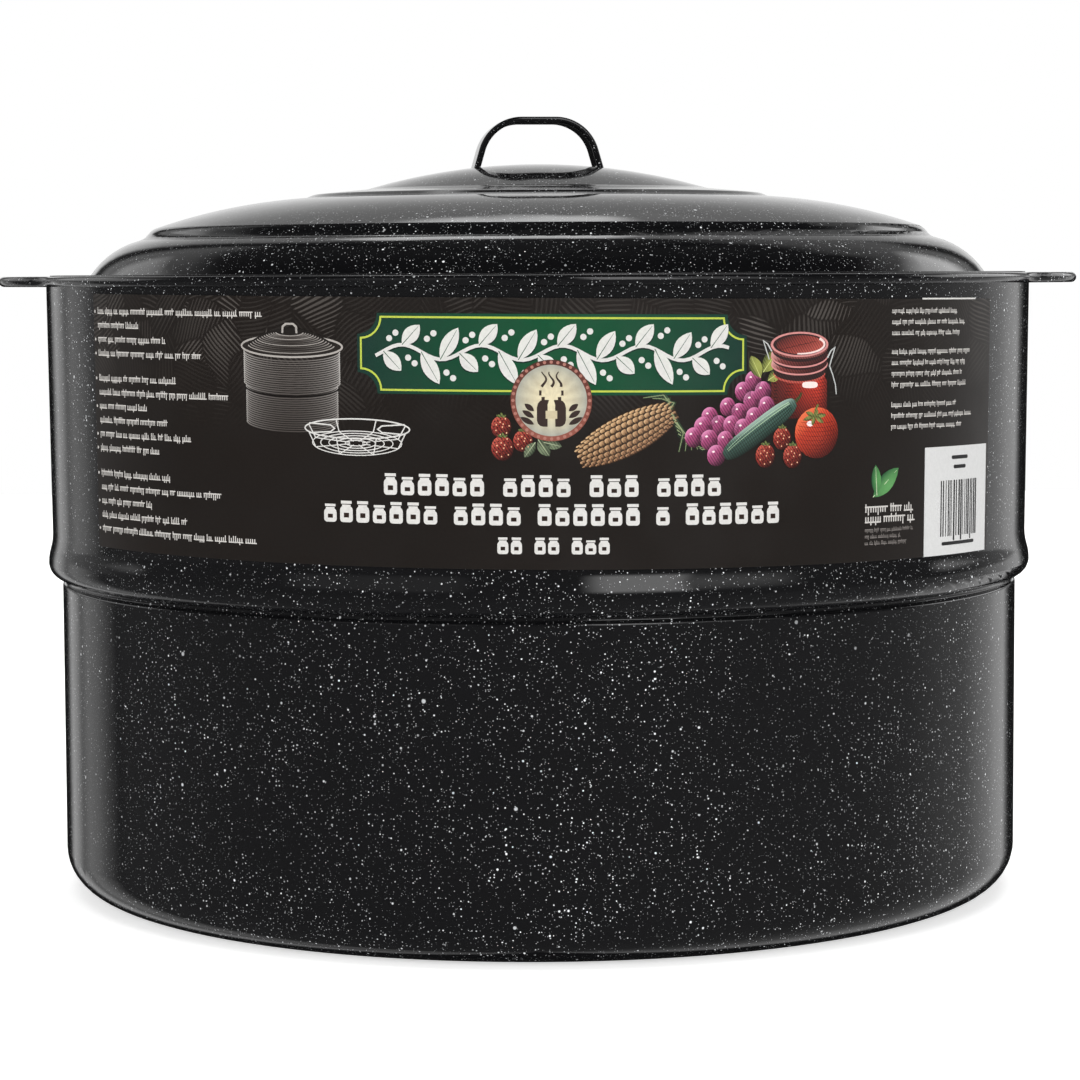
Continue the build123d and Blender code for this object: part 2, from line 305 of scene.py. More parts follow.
class Print:
    """Ink shapes on the wrap, gathered into one mesh. Each is a closed sheet a few hundredths of a mm thick."""

    FLOOR = 0.006
    STEP = 0.008

    def __init__(self, name, base=0.0):
        self.name = name
        self.base = base
        self.points = []
        self.faces = []
        self.colours = []

    def add(self, points, faces, colours, layer):
        """Adds a surface in (u, v) as a closed sheet from the paper up to its layer."""
        first, count = len(self.points), len(points)
        top = self.base + self.FLOOR + self.STEP * (layer + 1)
        self.points += [on_wrap(u, v, top) for u, v in points]
        self.points += [on_wrap(u, v, self.base + self.FLOOR) for u, v in points]
        self.colours += list(colours) * 2
        used = {}
        for face in faces:
            for a, b in zip(face, face[1:] + face[:1]):
                used[(a, b)] = True
        for face in faces:
            self.faces.append([first + i for i in face])
            self.faces.append([first + count + i for i in reversed(face)])
        for a, b in used:
            if (b, a) not in used:
                self.faces.append([first + a, first + count + a, first + count + b, first + b])

    def strip(self, left, right, colours, layer):
        """Quads between two rows of points."""
        n = len(left)
        faces = [[i, n + i, n + i + 1, i + 1] for i in range(n - 1)]
        self.add(left + right, faces, colours, layer)

    def stroke(self, path, width, colour, layer, closed=False):
        """A mitred line. Two widths make it taper. A colour may be a function of 0 to 1 along it."""
        path = [Vector(p) for p in path]
        if closed:
            path.append(path[0])
        low, high = (width, width) if isinstance(width, (int, float)) else width
        left, right = [], []
        for i, p in enumerate(path):
            before = path[i - 1] if i else (path[-2] if closed else p)
            after = path[i + 1] if i + 1 < len(path) else (path[1] if closed else p)
            one = (p - before).normalized() if (p - before).length else (after - p).normalized()
            two = (after - p).normalized() if (after - p).length else one
            tangent = (one + two).normalized()
            mitre = 1 / max(0.5, tangent.dot(two))
            half = (low + (high - low) * i / max(1, len(path) - 1)) / 2 * mitre
            side = Vector((-tangent.y, tangent.x)) * half
            left.append(tuple(p + side))
            right.append(tuple(p - side))
        inks = [colour(i / (len(left) - 1)) if callable(colour) else colour for i in range(len(left))]
        self.strip(left, right, inks * 2, layer)

    def panel(self, columns, colour_at, layer, rows=2):
        """A filled shape given as (u, low, high) columns. colour_at takes (u, v)."""
        points, faces = [], []
        for u, low, high in columns:
            points += [(u, low + (high - low) * k / rows) for k in range(rows + 1)]
        step = rows + 1
        for i in range(len(columns) - 1):
            for k in range(rows):
                a = i * step + k
                faces.append([a, a + step, a + step + 1, a + 1])
        self.add(points, faces, [colour_at(u, v) for u, v in points], layer)

    def bar(self, u, v, length, height, colour, layer=0):
        """A bar with round ends. (u, v) is its left end on the centre line."""
        half = height / 2
        ends = [(-half * math.cos(t), half * math.sin(t)) for t in (0.35, 0.9, 1.57)]
        columns = [(u + half + x, v - y, v + y) for x, y in ends]
        middle = max(1, int(length / 4))
        pitch = (length - height) / middle
        columns += [(u + half + pitch * k, v - half, v + half) for k in range(1, middle + 1)]
        columns += [(u + length - half - x, v - y, v + y) for x, y in reversed(ends[:-1])]
        self.panel(columns, lambda *_: colour, layer, rows=1)

    def blob(self, centre, outline, shade, layer, rings=4):
        """A shape filled from its centre out. shade takes (0 at the centre to 1 at the edge, direction)."""
        n = len(outline)
        points, colours, faces = [centre], [shade(0.0, 0.0)], []
        for k in range(1, rings + 1):
            s = k / rings
            for i, (u, v) in enumerate(outline):
                points.append((centre[0] + s * (u - centre[0]), centre[1] + s * (v - centre[1])))
                colours.append(shade(s, math.tau * i / n))
        for i in range(n):
            j = (i + 1) % n
            faces.append([0, 1 + i, 1 + j])
            for k in range(rings - 1):
                a, b = 1 + k * n, 1 + (k + 1) * n
                faces.append([a + i, b + i, b + j, a + j])
        self.add(points, faces, colours, layer)

    def ellipse(self, centre, radii, shade, layer, turn=0.0, power=2.0, sides=24, rings=4):
        outline = superellipse(centre, radii, turn, power, sides)
        self.blob(centre, outline, shade, layer, rings)

    def build(self, material, slot):
        mesh = bpy.data.meshes.new(self.name)
        mesh.from_pydata([tuple(p) for p in self.points], [], self.faces)
        attribute = mesh.color_attributes.new("ink", "FLOAT_COLOR", "POINT")
        attribute.data.foreach_set("color", [c for colour in self.colours for c in colour])
        mesh.materials.append(material)
        mesh.update()
        piece = bpy.data.objects.new(self.name, mesh)
        bpy.context.scene.collection.objects.link(piece)
        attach(piece, "pot")
        return piece


def superellipse(centre, radii, turn=0.0, power=2.0, sides=24):
    points = []
    for i in range(sides):
        t = math.tau * i / sides
        c, s = math.cos(t), math.sin(t)
        x = radii[0] * math.copysign(abs(c) ** (2 / power), c)
        y = radii[1] * math.copysign(abs(s) ** (2 / power), s)
        points.append((centre[0] + x * math.cos(turn) - y * math.sin(turn),
                       centre[1] + x * math.sin(turn) + y * math.cos(turn)))
    return points


def blend(a, b, t):
    t = min(1.0, max(0.0, t))
    return tuple(a[i] + (b[i] - a[i]) * t for i in range(4))


def rounded_shade(light, middle, dark, toward=2.2):
    """Shading of a round thing lit from one side: light near the lit side, dark at the far edge."""

    def shade(s, direction):
        lit = 0.5 - 0.5 * s * math.cos(direction - toward)
        if lit < 0.35:
            return blend(light, middle, lit / 0.35)
        return blend(middle, dark, (lit - 0.35) / 0.55 * (0.4 + 0.6 * s))

    return shade


def even(colour):
    return lambda *_: colour


# ---------------------------------------------------------------- the wrap's print

WHITE = ink(220, 218, 214)
TEXT_WHITE = ink(208, 204, 199)
SOFT_WHITE = ink(176, 170, 164)
GREY_TEXT = ink(128, 122, 118)
YELLOW = ink(190, 204, 74)
GREEN, DEEP_GREEN = ink(6, 80, 48), ink(24, 56, 48)
BROWN = ink(46, 32, 26)
BRICK = ink(150, 84, 70)


def words(art, u, v, length, height, colour, rng):
    """One line of greeked words: ticks of uneven height on a bar. It says nothing."""
    end = u + length
    while u < end - height:
        word = min(rng.uniform(1.6, 6.0) * height, end - u)
        rail = rng.choice((-0.42, 0.42)) * height
        art.bar(u, v + rail, word, 0.26 * height, colour)
        tick = u + 0.1 * height
        while tick < u + word - 0.25 * height:
            low, high = rng.choice(((0.5, 0.5), (0.5, 0.5), (0.5, 0.5), (0.5, 0.95), (0.95, 0.5)))
            wide = 0.26 * height
            columns = [(x, v - low * height, v + high * height) for x in (tick, tick + wide)]
            art.panel(columns, even(colour), 1, rows=1)
            tick += rng.uniform(0.52, 0.62) * height
        u += word + 0.5 * height


def text_blocks(art):
    """The blocks of small print, greeked: left column, right column and the lines under the leaf mark."""
    rng = random.Random(7)
    left = [   # height of the first line, lengths of the lines
        (235.9, (95, 33, 47, 66)),
        (210.3, (54, 80, 35, 48, 60, 42)),
        (173.8, (50, 77, 38, 57, 91)),
    ]
    for top, lengths in left:
        for row, length in enumerate(lengths):
            v = top - 5.35 * row
            bullet = row in (0, len(lengths) - 1) or (row % 2 == 0 and row > 1)
            if bullet:
                art.ellipse((-201.2, v), (0.6, 0.6), even(TEXT_WHITE), 0, sides=8, rings=1)
            words(art, -199.0, v, length - 1, 1.7, TEXT_WHITE, rng)
    for top, lengths in ((238.0, (40, 46, 42)), (222.8, (50, 46, 44, 47)), (203.0, (40, 52, 46))):
        for row, length in enumerate(lengths):
            words(art, 143.0, top - 4.1 * row, length, 1.3, TEXT_WHITE, rng)
    lower = ((164.4, 26, 2.2), (160.6, 27, 2.2), (156.6, 26, 1.0), (154.2, 19, 1.0), (151.8, 23, 1.0))
    for v, length, height in lower:
        words(art, 130.0, v, length, height, TEXT_WHITE if height > 1.5 else GREY_TEXT, rng)


def jar_icon(art, u, v, width, height, colour, layer=1, patch=None):
    """A plain canning jar: lid, neck and body, with a bare patch for its label."""
    half, r = width / 2, 0.22 * width
    body_top = v + 0.74 * height
    corner = [(half - r + r * math.sin(t), r - r * math.cos(t)) for t in (0.0, 0.5, 1.0, 1.57)]
    columns = [(x, v + y, body_top - 1.25 * y) for x, y in corner]
    columns = [(-x, low, high) for x, low, high in reversed(columns)] + columns
    art.panel([(u + x, low, high) for x, low, high in columns], even(colour), layer, rows=1)
    for wide, low, high in ((0.34, 0.72, 0.82), (0.42, 0.86, 1.0)):
        ends = [(u + side * wide * width, v + low * height, v + high * height) for side in (-1, 1)]
        art.panel(ends, even(colour), layer, rows=1)
    if patch:
        ends = [(u + side * 0.20 * width, v + 0.22 * height, v + 0.44 * height) for side in (-1, 1)]
        art.panel(ends, even(patch), layer + 1, rows=1)


def jar_rows(art):
    """Three centred rows of jars stand where the wrap's headline is, in groups as its words are."""
    rows = [   # groups, pitch, gap between groups, height above the base, jar height and width
        ((6, 4, 3, 4), 6.40, 5.5, 171.4, 7.8, 5.0),
        ((7, 4, 6, 1, 6), 6.40, 4.7, 161.0, 7.8, 5.0),
        ((2, 2, 3), 4.9, 3.6, 150.7, 6.0, 4.0),
    ]
    for groups, pitch, gap, v, height, width in rows:
        total = pitch * (sum(groups) - 1) + gap * (len(groups) - 1)
        u = 5.4 - total / 2
        for group in groups:
            for i in range(group):
                squat = 0.84 if (i + group) % 3 == 1 else 1.0
                jar_icon(art, u, v, width, height * squat, WHITE, 1, BROWN)
                u += pitch
            u += gap


PLAQUE_U, PLAQUE_V = 5.6, 222.4
PLAQUE_HALF, PLAQUE_RISE, SCOOP = 71.7, 14.5, 7.6


def plaque_outline(inset):
    """A plate with scooped corners, as (u, low, high) columns and as a closed path."""
    half, rise = PLAQUE_HALF - inset, PLAQUE_RISE - inset
    angles = [math.pi / 2 * k / 8 for k in range(9)]
    scoop = [(half - SCOOP * math.cos(t), rise - SCOOP * math.sin(t)) for t in angles]
    path = scoop + [(x, -y) for x, y in reversed(scoop)]
    path += [(-x, -y) for x, y in scoop] + [(-x, y) for x, y in reversed(scoop)]
    straight = [((half - SCOOP) * k / 16, rise) for k in range(16)]
    columns = straight + scoop
    columns = [(-x, y) for x, y in reversed(columns) if x > 0] + columns
    path = [(PLAQUE_U + x, PLAQUE_V + y) for x, y in path]
    return [(PLAQUE_U + x, PLAQUE_V - y, PLAQUE_V + y) for x, y in columns], path


def subdivide(path, longest=4.0):
    """The closed path with its long runs cut, so that a stroke along it follows the wall."""
    cut = []
    for a, b in zip(path, path[1:] + path[:1]):
        n = max(1, math.ceil(math.dist(a, b) / longest))
        cut += [(a[0] + (b[0] - a[0]) * k / n, a[1] + (b[1] - a[1]) * k / n) for k in range(n)]
    return cut


def leaf(art, base, tip, width, light, dark, layer, vein=None):
    """A pointed leaf from base to tip."""
    base, tip = Vector(base), Vector(tip)
    along = tip - base
    across = Vector((-along.y, along.x)).normalized() * width / 2
    outline = []
    for k in range(9):
        t = k / 8
        outline.append(tuple(base + along * t + across * math.sin(math.pi * t) ** 0.8))
    for k in range(1, 8):
        t = 1 - k / 8
        outline.append(tuple(base + along * t - across * math.sin(math.pi * t) ** 0.8))
    centre = tuple(base + along * 0.5)

    def shade(s, a):
        return blend(light, dark, s * (0.5 + 0.5 * math.sin(a)))

    art.blob(centre, outline, shade, layer, rings=2)
    if vein:
        art.stroke([tuple(base), centre, tuple(base + along * 0.92)], (0.30, 0.12), vein, layer + 1)


def plaque(art):
    """A scooped green plate with a yellow line and a bold white vine."""
    columns, _ = plaque_outline(0.0)

    def green(u, v):
        return blend(GREEN, DEEP_GREEN, (abs(u - PLAQUE_U) / PLAQUE_HALF) ** 1.5)

    art.panel(columns, green, 1, rows=4)
    art.stroke(subdivide(plaque_outline(1.4)[1]), 0.7, YELLOW, 3, closed=True)

    def vine(u):
        return PLAQUE_V + 0.6 + 2.6 * math.sin(math.tau * (u - PLAQUE_U + 4.0) / 29.0)

    reach = PLAQUE_HALF - 7.0
    shadow = ink(16, 44, 36)
    stem = [(PLAQUE_U + x, vine(PLAQUE_U + x)) for x in [-reach + 2 * reach * k / 60 for k in range(61)]]
    art.stroke([(u, v - 0.4) for u, v in stem], 1.5, shadow, 4)
    art.stroke(stem, 1.3, WHITE, 5)
    count = 18
    for k in range(count):
        u = PLAQUE_U - reach + 3.0 + (2 * reach - 10.0) * k / (count - 1)
        up = 1 if k % 2 else -1
        root = (u, vine(u))
        tip = (u + 6.6, vine(u + 6.6) + up * 9.4)
        tip = (tip[0], max(PLAQUE_V - 10.8, min(PLAQUE_V + 11.0, tip[1])))
        leaf(art, (root[0], root[1] - 0.4), (tip[0], tip[1] - 0.4), 5.9, shadow, shadow, 4)
        leaf(art, root, tip, 5.6, WHITE, ink(222, 224, 216), 6, vein=GREEN)
        for along, away in ((2.2, -4.68), (4.6, -6.66)):
            art.ellipse((u + along, vine(u) + up * away), (1.15, 1.15), even(WHITE), 6, sides=12, rings=1)


def rosette(art):
    """A round seal with a beaded brick border: a jar under three curls of steam."""
    u, v = 4.8, 206.0

    def border(s, a):
        return blend(BRICK, ink(84, 42, 36), 0.5 + 0.5 * math.sin(a))

    art.ellipse((u, v), (14.6, 14.6), border, 9, sides=72, rings=3)
    for k in range(36):
        a = math.tau * k / 36
        bead = (u + 13.75 * math.cos(a), v + 13.75 * math.sin(a))
        art.ellipse(bead, (0.62, 0.62), even(ink(176, 118, 104)), 10, sides=8, rings=1)

    def sky(s, a):
        ray = 0.5 + 0.5 * math.cos(14 * a)
        warm = blend(ink(232, 220, 184), ink(196, 178, 140), ray * 0.7 * s)
        return blend(warm, ink(136, 146, 148), s * s * 0.7)

    art.ellipse((u, v), (12.8, 12.8), sky, 11, sides=84, rings=6)
    dark = ink(58, 44, 40)
    jar_icon(art, u, v - 9.4, 10.4, 13.0, dark, 13, ink(206, 192, 158))
    for k in (-1, 0, 1):
        curl = [(u + 2.7 * k + 0.9 * math.sin(5.2 * i / 8 + k), v + 4.9 + 5.4 * i / 8) for i in range(9)]
        art.stroke(curl, (1.0, 0.35), dark, 13)
    for side in (-1, 1):
        for lift, length in ((-8.6, 5.0), (-6.2, 4.2), (-3.8, 3.4)):
            tip = (u + side * (6.2 + length), v + lift + 2.6)
            leaf(art, (u + side * 6.2, v + lift), tip, 2.0, dark, dark, 13)


def corn(art):
    """A cob lying up to the right: rows of plump kernels, and its husk folded back."""
    foot, head = Vector((14.5, 185.2)), Vector((50.0, 202.5))
    along = head - foot
    across = Vector((-along.y, along.x)).normalized()
    turn = math.atan2(along.y, along.x)

    def girth(t):
        return math.sin(math.pi * (0.08 + 0.86 * t)) ** 0.55

    there = [k / 12 for k in range(13)]
    outline = [tuple(foot + along * t + across * side * 7.6 * girth(t))
               for side, way in ((-1, there), (1, there[::-1])) for t in way]
    art.blob(tuple(foot + along * 0.5), outline, even(ink(66, 44, 26)), 2, rings=3)
    rows = 8
    for row in range(rows):
        side = (row + 0.5) / rows * 2 - 1
        for k in range(17):
            t = (k + 0.5 * (row % 2) + 0.4) / 17.4
            half = 7.3 * girth(t)
            spot = foot + along * t + across * half * math.sin(side * 1.35)
            size = (1.16, half / rows * 1.10 * max(0.45, math.cos(side * 1.2)))
            dark = 0.5 - 0.5 * side
            light = blend(ink(240, 212, 166), ink(206, 162, 120), dark)
            middle = blend(ink(208, 166, 118), ink(146, 102, 72), dark)
            shade = rounded_shade(light, middle, ink(84, 58, 40), 2.4)
            art.ellipse(tuple(spot), size, shade, 4, turn, 2.8, 10, 2)
    for k in range(9):
        start = Vector((47.0 + 0.5 * k, 206.0 - 1.5 * k))
        end = Vector((38.0 + 3.4 * k, 207.0 - 0.2 * k) if k < 3 else (44.0 + 2.4 * k, 186.5 + 0.3 * k))
        bend = (start + end) / 2 + Vector((3.0, 1.5 - 0.6 * k))
        husk = [tuple(start), tuple(bend), tuple(end)]
        art.stroke(husk, (2.0, 0.5), blend(ink(62, 84, 58), ink(30, 44, 34), k / 9), 3)
        art.stroke(husk, (0.35, 0.15), ink(150, 164, 118), 5)


def round_fruit(art, centre, radius, light, middle, dark, layer, hatch, squash=1.0):
    """A round fruit with engraved hatching on its dark side and a spark of light."""
    art.ellipse(centre, (radius, radius * squash), rounded_shade(light, middle, dark), layer, rings=5)
    for k in range(5):
        r = radius * (0.92 - 0.13 * k)
        arc = [(centre[0] + r * math.cos(t), centre[1] + r * squash * math.sin(t))
               for t in [-2.0 + 2.1 * i / 8 + 0.12 * k for i in range(9)]]
        art.stroke(arc, (0.10, 0.22), hatch, layer + 1)
    spark = (centre[0] - 0.32 * radius, centre[1] + 0.36 * radius * squash)
    art.ellipse(spark, (0.16 * radius, 0.11 * radius), even(ink(255, 236, 236)), layer + 1, sides=8, rings=1)


def grapes(art):
    light, middle, dark, hatch = ink(226, 142, 186), ink(176, 74, 124), ink(76, 34, 54), ink(64, 18, 46)
    rng = random.Random(3)
    spots = [
        (80.0, 213.0), (84.0, 209.0), (76.0, 209.0), (79.5, 205.5), (85.5, 203.5), (70.0, 203.5),
        (74.5, 201.5), (80.5, 199.5), (63.0, 200.0), (66.5, 197.0), (60.5, 196.2), (71.5, 196.8),
        (76.0, 195.4), (56.8, 192.6), (62.8, 191.6), (69.0, 191.4), (81.0, 194.4), (65.5, 186.0),
    ]
    for k, spot in enumerate(spots):
        radius = rng.uniform(3.1, 3.6)
        round_fruit(art, spot, radius, light, middle, dark, 2 + 0.6 * k, hatch, 1.1)
    leaves = (((84, 216), (90, 224), 6), ((83, 214), (79, 222), 5), ((86, 213), (91, 216), 4))
    for base, tip, width in leaves:
        leaf(art, base, tip, width, ink(160, 166, 82), ink(76, 86, 44), 3, vein=ink(206, 212, 130))


def cucumber(art):
    foot, head = Vector((68.5, 185.5)), Vector((97.5, 205.2))
    centre = (foot + head) / 2
    turn = math.atan2(head.y - foot.y, head.x - foot.x)
    shade = rounded_shade(ink(170, 194, 180), ink(74, 106, 94), ink(30, 48, 42), 1.2)
    art.ellipse(tuple(centre), ((head - foot).length / 2, 3.9), shade, 15, turn, 2.9, 40, 5)
    across = Vector((-math.sin(turn), math.cos(turn)))
    for k, offset in enumerate((-2.4, -1.2, 0.2, 1.5, 2.6)):
        line = [tuple(foot + (head - foot) * t + across * offset * math.sin(math.pi * t) ** 0.4)
                for t in [0.07 + 0.86 * i / 10 for i in range(11)]]
        art.stroke(line, (0.12, 0.34), ink(176, 206, 170) if k > 2 else ink(20, 52, 42), 16)
    stalk = [tuple(head), tuple(head + Vector((1.8, 1.6))), tuple(head + Vector((2.6, 3.2)))]
    art.stroke(stalk, (1.3, 0.8), ink(78, 84, 48), 15)


def tomato(art):
    centre = (107.0, 193.6)
    light, middle, dark, hatch = ink(246, 120, 76), ink(206, 60, 34), ink(84, 24, 18), ink(104, 18, 14)
    round_fruit(art, centre, 9.6, light, middle, dark, 14, hatch, 0.98)
    for k in range(9):
        arc = [(centre[0] + 8.9 * math.cos(t), centre[1] - 5.0 + 1.6 * k + 1.3 * math.sin(t) - 3.0)
               for t in [math.pi + math.pi * i / 10 for i in range(11)] if abs(8.9 * math.cos(t)) < 8.7]
        keep = [p for p in arc if math.dist(p, centre) < 9.0]
        if len(keep) > 2:
            art.stroke(keep, (0.10, 0.20), ink(120, 20, 16), 15.6)
    top = (centre[0] - 1.0, centre[1] + 6.2)
    for k in range(6):
        a = 0.3 + k * math.tau / 6
        tip = (top[0] + 5.4 * math.cos(a), top[1] + 3.0 * math.sin(a) - 0.6)
        leaf(art, top, tip, 1.7, ink(140, 146, 78), ink(56, 62, 34), 17)
    stalk = [top, (top[0] + 0.4, top[1] + 2.4), (top[0] + 1.4, top[1] + 4.2)]
    art.stroke(stalk, (1.2, 0.8), ink(122, 126, 66), 18)


def berry(art, centre, radius, layer):
    """A seeded berry: a red blob in engraved dots."""
    flesh = rounded_shade(ink(208, 94, 76), ink(156, 50, 40), ink(60, 20, 17))
    art.ellipse(centre, (radius, radius * 1.12), flesh, layer)
    for k in range(26):
        a, s = k * 2.39996, math.sqrt((k + 0.5) / 26) * 0.88
        spot = (centre[0] + radius * s * math.cos(a), centre[1] + 1.12 * radius * s * math.sin(a))
        seed = ink(56, 12, 10) if k % 3 else ink(250, 190, 150)
        art.ellipse(spot, (0.26, 0.30), even(seed), layer + 1, sides=6, rings=1)
    for side in (-1, 0, 1):
        tip = (centre[0] + 1.8 * side, centre[1] + 1.12 * radius + 1.2 - abs(side))
        leaf(art, (centre[0], centre[1] + radius), tip, 1.1, ink(120, 132, 72), ink(50, 60, 34), layer + 2)


def preserving_jar(art):
    """A clamp-top jar of red preserve: open mouth, threaded neck, shoulders and wire bail."""
    u, mouth, foot, shoulder = 99.4, 226.0, 199.0, 216.2
    pink, dark_glass = ink(214, 142, 138), ink(62, 40, 40)

    def red(x, y):
        across = (x - u) / 12.0
        lit = blend(ink(110, 36, 32), ink(224, 66, 48), 0.5 + 0.75 * across)
        lit = blend(lit, ink(120, 40, 34), 3.0 * across - 2.0)
        return blend(lit, ink(64, 26, 24), (shoulder - 5.0 - y) / 14)

    columns = [-12 + 1.5 * k for k in range(17)]
    body = [(u + x, foot + 0.8 * (abs(x) / 12) ** 4, shoulder - 3.4 * (abs(x) / 12) ** 6) for x in columns]
    art.panel(body, red, 2, rows=6)
    glass = rounded_shade(ink(232, 172, 166), ink(136, 66, 62), ink(66, 34, 34), 2.6)
    neck = [
        (shoulder - 0.8, 11.2, 3.6, even(ink(196, 86, 74))), (shoulder, 11.2, 3.6, even(dark_glass)),
        (shoulder + 1.8, 11.4, 3.8, even(dark_glass)), (shoulder + 2.6, 12.2, 4.1, even(pink)),
        (shoulder + 3.2, 12.0, 4.1, glass), (shoulder + 4.6, 11.6, 4.1, even(dark_glass)),
        (shoulder + 5.6, 12.3, 4.4, even(pink)), (shoulder + 6.2, 12.2, 4.4, glass),
        (shoulder + 7.8, 11.8, 4.4, even(dark_glass)), (mouth - 0.7, 12.4, 4.6, even(ink(136, 74, 70))),
        (mouth, 12.4, 4.6, even(pink)), (mouth, 11.4, 3.9, even(dark_glass)),
    ]
    for k, (v, width, height, shade) in enumerate(neck):
        art.ellipse((u, v), (width, height), shade, 4 + k, sides=40)
    inside = rounded_shade(ink(92, 44, 42), ink(150, 60, 52), ink(196, 92, 80), 2.6)
    art.ellipse((u + 0.3, mouth - 0.1), (10.4, 3.4), inside, 17, sides=36)
    for k in range(6):
        dark_line = [(u - 8.6 + 2.6 * k + 1.4 * j, mouth - 1.7 + 0.5 * k + 0.1 * j) for j in range(3)]
        art.stroke(dark_line, (0.30, 0.12), ink(70, 28, 28), 18)
    art.stroke(arc_points((u + 0.2, mouth), (10.4, 3.4), 262, 398, 16), (0.5, 1.0), ink(250, 222, 216), 19)
    for k in range(11):
        v = foot + 1.6 + 1.25 * k
        left = [(u - 11.0, v), (u - 6.2 + 0.2 * k, v - 0.5), (u - 1.5 + 0.3 * k, v - 0.6)]
        right = [(u + 4.5, v - 0.4), (u + 8.0, v - 0.2), (u + 11.2, v + 0.3)]
        art.stroke(left, (0.34, 0.10), ink(40, 12, 12), 4)
        art.stroke(right, (0.10, 0.22), ink(96, 22, 18), 4)
    glint = even(ink(255, 232, 226))
    art.ellipse((u + 4.4, shoulder - 5.0), (3.4, 1.2), glint, 5, power=3.0, sides=16, rings=1)
    steel = ink(198, 200, 198)
    bail = [(12.0, -5.0), (13.6, -2.4), (15.4, -1.2), (14.2, -4.6), (13.0, -8.0), (14.4, -11.0),
            (15.8, -15.0), (16.2, -18.4)]
    art.stroke([(u + x, mouth + y) for x, y in bail], (0.55, 0.35), steel, 20)
    art.stroke([(u - x, mouth + y + 2.6) for x, y in bail[:5]], (0.5, 0.35), steel, 20)


def produce(art):
    preserving_jar(art)
    grapes(art)
    cucumber(art)
    tomato(art)
    corn(art)
    for centre, radius in (((92.0, 191.8), 3.7), ((85.0, 185.6), 3.9), ((96.4, 185.2), 3.9)):
        berry(art, centre, radius, 19)
    for centre, radius in (((-13.2, 196.4), 3.6), ((-12.8, 188.8), 4.0), ((-5.4, 191.4), 3.5)):
        berry(art, centre, radius, 2)
    leaves = (((0, 192), (4, 186), 4.4), ((-1, 191), (-5, 185.5), 3.6), ((2, 191), (8.5, 189.5), 3.6))
    for base, tip, width in leaves:
        leaf(art, base, tip, width, ink(120, 134, 104), ink(46, 58, 44), 3, vein=ink(176, 186, 150))


def arc_points(centre, radii, start, end, steps=18):
    return [(centre[0] + radii[0] * math.cos(t), centre[1] + radii[1] * math.sin(t))
            for t in [math.radians(start + (end - start) * k / steps) for k in range(steps + 1)]]


def ring_ink(bright, dim):
    """Ink along a drawn ring: bright near both ends, dim in the middle."""
    return lambda t: blend(bright, dim, math.sin(math.pi * t) ** 0.6)


def pot_drawing(art):
    """The pot in engraved rings: body, step, rim, lid and handle."""
    u, rim = -93.2, 224.4
    half, flat = 20.2, 3.6
    for k in range(33):
        v = rim - 1.8 - 0.80 * k
        wide = half if k < 15 else half - 0.9
        fade = k / 44
        bright = blend(TEXT_WHITE, ink(140, 134, 130), fade)
        shade = ring_ink(bright, blend(ink(98, 92, 88), ink(66, 60, 56), fade))
        art.stroke(arc_points((u, v), (wide, flat), 180, 360, 26), 0.40, shade, 0)
    art.stroke(arc_points((u, rim - 14.7), (half - 0.4, flat), 180, 360, 26), 0.6, ink(20, 16, 14), 2)
    rim_size = (half + 1.0, flat + 0.3)
    art.ellipse((u, rim), rim_size, even(ink(40, 35, 32)), 1, sides=44)
    art.stroke(arc_points((u, rim), rim_size, 0, 360, 44)[:-1], 0.7, SOFT_WHITE, 2, closed=True)
    for k in range(13):
        t = k / 13
        size = (18.2 - 13.4 * t, 3.1 - 1.9 * t)
        centre = (u, rim + 0.6 + 4.6 * math.sin(t * 1.57))
        shade = ring_ink(SOFT_WHITE, ink(66, 60, 56) if k % 4 else ink(150, 144, 138))
        art.ellipse(centre, size, even(ink(34, 30, 27)), 3 + 2 * k, sides=30, rings=1)
        art.stroke(arc_points(centre, size, 186, 354, 22), 0.36, shade, 4 + 2 * k)
    bend = ((-3.0, 4.8), (-2.8, 7.2), (-1.5, 8.2), (1.5, 8.2), (2.8, 7.2), (3.0, 4.8))
    handle = [(u + x, rim + y) for x, y in bend]
    art.stroke(handle, 0.75, SOFT_WHITE, 32)


def rack_drawing(art):
    """The jar rack in plain white line: top ring, floor rings, uprights and folded handles."""
    u, top, floor = -67.0, 195.0, 189.8
    art.stroke(arc_points((u, top), (20.4, 3.6), 0, 360, 44)[:-1], 0.5, WHITE, 4, closed=True)
    for k in range(5):
        size = (17.4 - 3.3 * k, 4.4 - 0.85 * k)
        art.stroke(arc_points((u, floor), size, 0, 360, 36)[:-1], 0.36, WHITE, 4, closed=True)
    for k in range(8):
        a = math.radians(22.5 + 45 * k)
        out = (u + 17.4 * math.cos(a), floor + 4.4 * math.sin(a))
        art.stroke([(u + 2.6 * math.cos(a), floor + 0.7 * math.sin(a)), out], 0.36, WHITE, 5)
        art.stroke([out, (u + 20.4 * math.cos(a), top + 3.6 * math.sin(a))], 0.42, WHITE, 5)
    loop = ((18.6, -1.8), (10.0, -1.2), (8.4, 0.0), (10.0, 1.2), (18.6, 1.8))
    for side in (-1, 1):
        bail = [(u + side * x, top + y) for x, y in loop]
        art.stroke(bail, 0.5, WHITE, 6)


def top_strip(art):
    """A sliver of white paper left along the top of the wrap's right end."""
    length = 37.0
    columns = [(160.0 + length * k / 8, 242.3, 242.9) for k in range(9)]
    art.panel(columns, even(WHITE), 0, rows=1)


